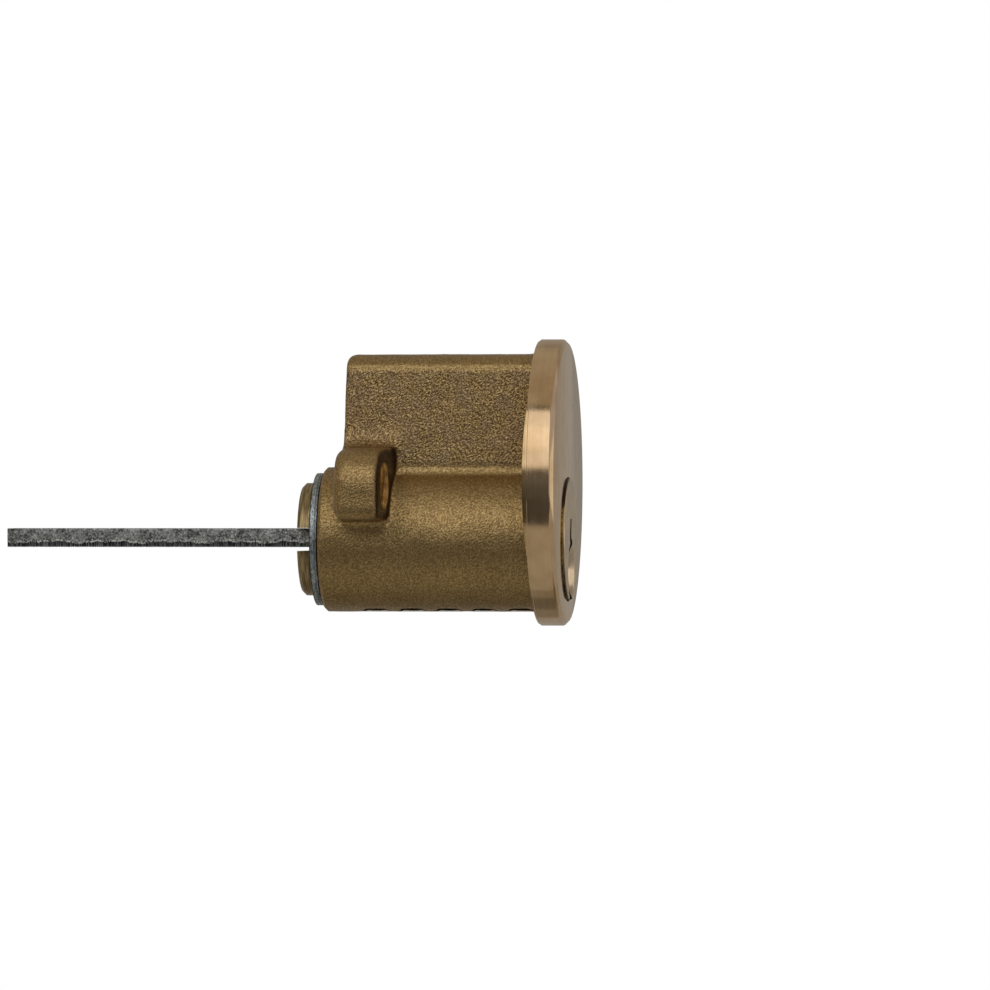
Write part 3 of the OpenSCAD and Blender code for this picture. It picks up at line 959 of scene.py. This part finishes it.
# %% [markdown]
# ## The plug
#
# The plug is turned from bar, so it starts on the lathe. A broach pulls the keyway through it, a form tool
# dishes the key guide into its face, and a slitting saw opens the tail for the bar. The keyway's wards lean
# in from both sides, so that only a key of this section passes. Here the keyway ends just before the bar's
# slot: a line of sight through the plug would show the white backdrop as a bright dot in its face.

# %% Plug
GROOVE_IN, GROOVE_OUT, GROOVE_R = clip_low.y - 0.05, clip_high.y + 0.05, 5.6
HEAD_EDGE, TAIL_EDGE = 0.12, 0.4
head_back = head_floor - 0.05
plug_profile = [
    (0, head_face),
    (head_r - HEAD_EDGE, head_face),
    (head_r, head_face + HEAD_EDGE),
    (head_r, head_back),
    (plug_r, head_back),
    (plug_r, GROOVE_IN),
    (GROOVE_R, GROOVE_IN),
    (GROOVE_R, GROOVE_OUT),
    (plug_r, GROOVE_OUT),
    (plug_r, plug_end - TAIL_EDGE),
    (plug_r - TAIL_EDGE, plug_end),
    (0, plug_end),
]
plug = spun("plug_turned", plug_profile, PLUG, plug_z)

# %% Keyway, key guide, chambers and slot
SLOT_START = barrel_end - 3.3
KEYWAY_END = SLOT_START - 0.2
KEYWAY = [
    (0.58, 2.37), (0.13, 0.42), (0.35, 0.08), (1.2, -0.13), (1.2, -2.75), (1.05, -3.35), (0.2, -4.15),
    (-0.12, -4.5), (-0.14, -4.95), (0.1, -5.3), (1.2, -5.53), (1.2, -8), (-1.38, -8), (-1.38, -3.3),
    (-1.2, -2.95), (-0.4, -2.7), (0.0, -2.45), (0.05, -2.0), (-0.05, -1.5), (-0.85, -0.6), (-1.2, 0.0),
    (-1.26, 0.6), (-0.67, 2.37),
]


def keyway():
    start = head_face - 1
    outline = [(x, start, plug_z + z) for x, z in KEYWAY]
    return pulled("keyway", outline, (0, KEYWAY_END - start, 0), TARNISH_AND_SHADE)


def key_guide():
    radius, depth, drop = 3.3, 0.8, 3.7
    ball = (radius ** 2 + depth ** 2) / (2 * depth)
    only()
    spot = (0, head_face + depth - ball, plug_z - drop)
    bpy.ops.mesh.primitive_uv_sphere_add(segments=192, ring_count=128, radius=ball, location=spot)
    return made("key_guide", GUIDE)


def plug_drills():
    drills = []
    floor = plug_z - 1.0
    for y in chamber_ys:
        cone_end = (0, y, floor + drill_cone)
        drills.append(rod("drill", chamber_r, cone_end, (0, y, plug_z + plug_r + 1), BORED, 64))
        drills.append(rod("drill_tip", 0, (0, y, floor), cone_end, BORED, 64, chamber_r))
    return facing_out(joined(drills))


def tail_slot():
    height = 2.65
    only()
    length = plug_end - SLOT_START + 1
    middle = (0, SLOT_START + length / 2, plug_z)
    bpy.ops.mesh.primitive_cube_add(size=1, location=middle, scale=(20, length, height))
    return made("tail_slot", BORED)


for tool in (key_guide(), keyway(), plug_drills(), tail_slot()):
    cut(plug, tool)
finished(plug, "plug", "plug_brass", "plug")

# %% [markdown]
# ## Clip and closing plugs
#
# The clip is stamped and tumbled, so its corners are round. It is turned as a ring, opened with a wedge and
# bevelled. The closing plugs are short ends of bar, pressed in and left level with the barrel's lowest line.

# %% Clip
def clip():
    inner, outer = GROOVE_R + 0.05, -clip_low.x
    start, end = clip_low.y, clip_high.y
    profile = [(inner, start), (outer, start), (outer, end), (inner, end), (inner, start)]
    ring = spun("clip_ring", profile, ZINC, plug_z, 128)
    half_opening = 50
    wedge = [(0, 0)] + arc(0, 0, 2 * outer, -half_opening, half_opening, 2)
    cut(ring, pulled("opening", [(x, start - 1, plug_z + z) for x, z in wedge], (0, 3, 0), ZINC))
    modified(ring, "BEVEL", width=0.26, segments=4, limit_method="ANGLE", angle_limit=math.radians(40))
    return ring


finished(clip(), "plug", "clip_steel", "retaining_clip")

# %% Closing plugs
def closure(low, high):
    centre = (low.y + high.y) / 2
    radius = (high.y - low.y) / 2
    piece = rod("closure", radius, (0, centre, low.z - 0.5), (0, centre, high.z), CLOSURE, 64)
    # Its end is ground with the barrel, so it has the barrel's curve
    barrel = rod("barrel", forged_r, (0, centre - 3, plug_z), (0, centre + 3, plug_z), CLOSURE, 256)
    cut(piece, barrel, "INTERSECT")
    corners = {"limit_method": "ANGLE", "angle_limit": math.radians(50)}
    return modified(piece, "BEVEL", width=0.05, segments=2, **corners)


for i, (low, high) in enumerate(closure_boxes, 1):
    piece = closure(low, high)
    piece.name = f"closing_plug_{i}"
    finished(piece, "housing", "closure_brass", f"chamber_plug_{i}")

# %% [markdown]
# ## Tail bar
#
# The bar is punched out of steel strip. A punched edge has two zones: the upper part is burnished by the
# punch, and the rest is torn, a little set back, with a ragged line between them. The edge faces the camera,
# so it is modelled: the outline is pulled into a slab, cut into thin levels, and the torn levels are pushed
# in.

# %% Tail bar
BAR_HALF_W = 4.2


def bar_blank():
    """The T-shaped outline, its end cropped at a slant, pulled to the strip's thickness."""
    half_w, head_half, slant = BAR_HALF_W, bar_high.x, 0.25
    outline = [
        (-half_w, bar_high.y - slant), (half_w, bar_high.y), (half_w, barrel_end), (head_half, barrel_end),
        (head_half, bar_low.y), (-head_half, bar_low.y), (-head_half, barrel_end), (-half_w, barrel_end),
    ]
    thickness = (0, 0, bar_high.z - bar_low.z)
    piece = pulled("tail_bar_blanked", [(x, y, bar_low.z) for x, y in outline], thickness, STEEL)
    return bevel_where(piece, lambda a, b: abs(a.z - b.z) > 1 and max(a.y, b.y) < bar_high.y - 1, 0.3, 3)


def sliced(piece, start, steps, normal):
    """Cuts a mesh by planes at these steps from a point, which adds the points that the tear needs."""
    for step in steps:
        edit(piece)
        bpy.ops.mesh.bisect(plane_co=Vector(start) + Vector(normal) * step, plane_no=normal)
    only(piece)


def torn_in(piece):
    """Pushes the torn part of the punched edges in, and leaves both parts a little rough."""
    margin = 0.02
    for vertex in piece.data.vertices:
        spot = vertex.co
        rise = spot.z - bar_low.z
        on_edge = abs(abs(spot.x) - BAR_HALF_W) < margin or spot.y > bar_high.y - 0.4
        if not on_edge or rise < margin or spot.z > bar_high.z - margin:
            continue
        torn = min(1.0, max(0.0, (tear_line(spot.y, math.sin) - rise) / 0.2))
        rough = 0.05 * noise.noise(Vector((spot.y * 2.3, spot.z * 1.7, spot.x)))
        push = 0.07 * torn + rough * torn + 0.015 * noise.noise(Vector((spot.y, spot.z, 7.0)))
        spot.x -= math.copysign(max(0.0, push), spot.x)


def edge_of_bar(a, b):
    """True for an edge along the bar's long sides or across its cropped end."""
    along = all(abs(abs(p.x) - BAR_HALF_W) < 0.1 for p in (a, b)) and a.x * b.x > 0
    across = min(a.y, b.y) > bar_high.y - 0.4
    return (along and min(a.y, b.y) > barrel_end + 0.2) or across


bar = bar_blank()
sliced(bar, (0, 0, bar_low.z), (0.1, 0.25, 0.4, 0.55, 0.7, 0.85, 1.0, 1.3, 1.7, 2.0), (0, 0, 1))
sliced(bar, (0, barrel_end, 0), [i * 0.245 for i in range(1, 150)], (0, 1, 0))
torn_in(bar)
bevel_where(bar, lambda a, b: min(a.z, b.z) > bar_high.z - 0.01 and edge_of_bar(a, b), 0.14, 3)
bevel_where(bar, lambda a, b: max(a.z, b.z) < bar_low.z + 0.01 and edge_of_bar(a, b), 0.05, 2)
finished(bar, "tail_bar", "bar_steel", "tail_bar", angle=45)

# %% [markdown]
# ## Pins and springs
#
# The tumblers are inside, and only a glimpse of them shows down the keyway. Their CAD solids already have
# the right shape, so they stay, and take the finish of turned brass, turned steel and drawn wire.

# %% Pins and springs
for i in range(1, 6):
    for kind, material in (("key_pin", KEY_PIN), ("driver_pin", DRIVER), ("spring", WIRE)):
        node = frame["nodes"][f"{kind}_{i}"]
        node.data.materials.clear()
        node.data.materials.append(material)

# %% [markdown]
# ## Studio
#
# Polished metal shows the studio more than its own colour. The photograph's rim has a bright band, a dark
# band and two middling ones, and the law of reflection turns their heights into angles: a soft box from 11 to
# 59 degrees above the horizon on the camera's side, and something dark from there down to 33 degrees below
# it. So the studio has a soft box, dark cards under it, and grey cards for the rest. The cards are for the
# metal only: the camera doesn't see them, and they throw no shadow.

# %% Cards
FLOOR_Z = -75.0
WHITE = (1.0, 1.0, 1.0)
WARM = (1.0, 0.93, 0.82)
COOL = (1.0, 0.98, 1.14)


def glow(name, level, tint):
    """A material that shines with a plain light."""
    finish = Finish(name)
    colour = (*(level * part for part in tint), 1)
    finish.end_in(finish.node("ShaderNodeEmission", sockets={"Color": colour}))
    return finish.material


def card(name, corners, level, tint=WHITE):
    """A studio card with its corners in millimetres. The camera doesn't see it."""
    piece = filled(name, corners, glow(name, level, tint))
    only(piece)
    piece.scale = (MM, MM, MM)
    bpy.ops.object.transform_apply(scale=True)
    piece.visible_camera = False
    piece.visible_diffuse = False
    piece.visible_shadow = False


def at(distance, elevation):
    """The height of a line of sight from the part, at this distance and elevation."""
    return distance * math.tan(math.radians(elevation))


def upright(x1, y1, x2, y2, low, high):
    """Corners of a standing card between two points of the floor."""
    return [(x1, y1, low), (x2, y2, low), (x2, y2, high), (x1, y1, high)]


def lying(x1, x2, y, z):
    """Corners of a level card, as wide to one side as to the other."""
    return [(x1, -y, z), (x2, -y, z), (x2, y, z), (x1, y, z)]


# Elevations, in degrees, of the dark band's foot, middle and top, and the room's half width
DARK_FROM, DARK_MIDDLE, DARK_TO, ROOM = -33, -2, 11, 420
# The dark cards' distance on the camera's side, and how far the cloth before them comes
DARK_X = -320
CLOTH_X = FLOOR_Z / math.tan(math.radians(-DARK_FROM))
foot = FLOOR_Z + 1
dark_middle, dark_top = at(-DARK_X, DARK_MIDDLE), at(-DARK_X, DARK_TO)
card("dark_card_high", upright(DARK_X, -ROOM, DARK_X, ROOM, dark_middle, dark_top), 0.14)
card("dark_card_low", upright(DARK_X, -ROOM, DARK_X, ROOM, foot, dark_middle), 0.1)
card("dark_cloth", lying(DARK_X, CLOTH_X, ROOM, foot), 0.08)
# What stands closest under the part is in its own shade
card("shade", lying(8, 32, 60, foot), 0.16, WARM)
card("shade_near", lying(-4, 8, 60, foot), 0.26, WARM)
card("shade_far", lying(32, 64, 60, foot), 0.25, WARM)
card("far_card", upright(ROOM, -ROOM, ROOM, ROOM, foot, ROOM), 0.34, WARM)
card("key_side_card", upright(-ROOM, -ROOM, ROOM, -ROOM, foot, ROOM), 0.52, COOL)
card("tail_side_card", upright(-ROOM, ROOM, ROOM, ROOM, foot, ROOM), 0.4, WARM)
card("ceiling_card", lying(-215, ROOM, ROOM, ROOM + 2), 0.42, WARM)
# Low bright strips on the key side light the rim's bevel and the dished key guide
card("strip", upright(-150, -380, 180, -360, at(390, -15), at(390, 14)), 0.85)
card("far_strip", upright(180, -360, 340, -230, at(400, -4), at(400, 8)), 1.0)


def behind_box(name, low, high, level):
    """Part of the soft box's back, between two elevations. A lamp is see-through, so the two add up."""
    distance, half_width = 560, 450
    (x1, z1), (x2, z2) = arc(0, 0, distance, 180 - low, 180 - high, 1)
    corners = [(x1, -half_width, z1), (x2, -half_width, z2), (x2, half_width, z2), (x1, half_width, z1)]
    card(name, corners, level)


behind_box("box_back_low", 10, 27, 0.05)
behind_box("box_back_middle", 27, 44, 0.32)
behind_box("box_back_high", 44, 59, 0.12)
behind_box("box_frame", 59, 64, 0.1)

# %% [markdown]
# ## Paper and world
#
# The floor is a sheet of white paper. Under the part it is half real paper, so it takes a soft shadow and
# throws some warm light back. Further out the camera sees plain white, as in a catalogue picture, and the
# Light Path node keeps that white from lighting the part. The world does the same: white to the eye and in
# reflections, and dimmer as a lamp.

# %% Floor
def paper():
    """White paper that keeps the part's shadow, and is plain white for the camera further out."""
    finish = Finish("paper")
    x, y = finish.axes()[:2]
    camera_ray = finish.node("ShaderNodeLightPath")
    white = finish.node("ShaderNodeEmission", sockets={"Color": (1, 1, 1, 1)})
    finish.surface(Base_Color=(0.6, 0.58, 0.54, 1), Roughness=0.9)
    fade = (0.5 + 0.5 * from_axis(x, y).band(120, 270)) * camera_ray
    sheet = Wire(finish, finish.shader.outputs[0])
    finish.end_in(finish.node("ShaderNodeMixShader", sockets={0: fade, 1: sheet, 2: white}))
    return finish.material


only()
bpy.ops.mesh.primitive_plane_add(size=6, location=(0, 0, FLOOR_Z * MM))
floor = bpy.context.object
floor.name = "floor"
floor.data.materials.append(paper())

# %% World
AMBIENT = 0.45


class Sky(Finish):
    """The same tools for the world, whose shader is its background."""

    def __init__(self, name):
        self.world = bpy.data.worlds.new(name)
        self.world.use_nodes = True
        self.tree = self.world.node_tree
        self.shader = self.tree.nodes["Background"]


sky = Sky("studio")
rays = sky.node("ShaderNodeLightPath").socket.node.outputs
seen = Wire(sky, rays["Is Camera Ray"])
for kind in ("Is Glossy Ray", "Is Transmission Ray"):
    seen = seen.maths("MAXIMUM", seen, Wire(sky, rays[kind]))
sky.surface(Color=(1, 1, 1, 1), Strength=AMBIENT + (1 - AMBIENT) * seen)
bpy.context.scene.world = sky.world
print("the world lights the part at", AMBIENT, "of its white")

# %% [markdown]
# ## Soft box
#
# The one lamp is a soft box on the camera's side, which gives the bright band on the rim and rounds every
# forged edge. Its height comes from the band's two angles, so it is worked out here, and so is its power:
# that grows with the area, so the box stays as bright to look at whatever its size.

# %% Soft box
SOFT_FROM, SOFT_TO, SOFT_DISTANCE = 11, 59, 480
SOFT_LEVEL = 1.08
middle = math.radians((SOFT_FROM + SOFT_TO) / 2)
half = math.radians((SOFT_TO - SOFT_FROM) / 2)
place = Vector((-math.cos(middle), 0.0, math.sin(middle))) * SOFT_DISTANCE
bpy.ops.object.light_add(type="AREA", location=place * MM)
soft_box = bpy.context.object
soft_box.name = "soft_box"
soft_box.rotation_euler = place.to_track_quat("Z", "Y").to_euler()
soft_box.data.shape = "RECTANGLE"
soft_box.data.size = 0.9
soft_box.data.size_y = 2 * SOFT_DISTANCE * MM * math.tan(half)
area = soft_box.data.size * soft_box.data.size_y
soft_box.data.color = (0.98, 0.99, 1.04)
soft_box.data.energy = SOFT_LEVEL * area * math.pi
print("soft box", round(soft_box.data.size_y / MM), "mm high,", round(soft_box.data.energy, 2), "W")

bpy.context.scene.view_settings.view_transform = "Standard"
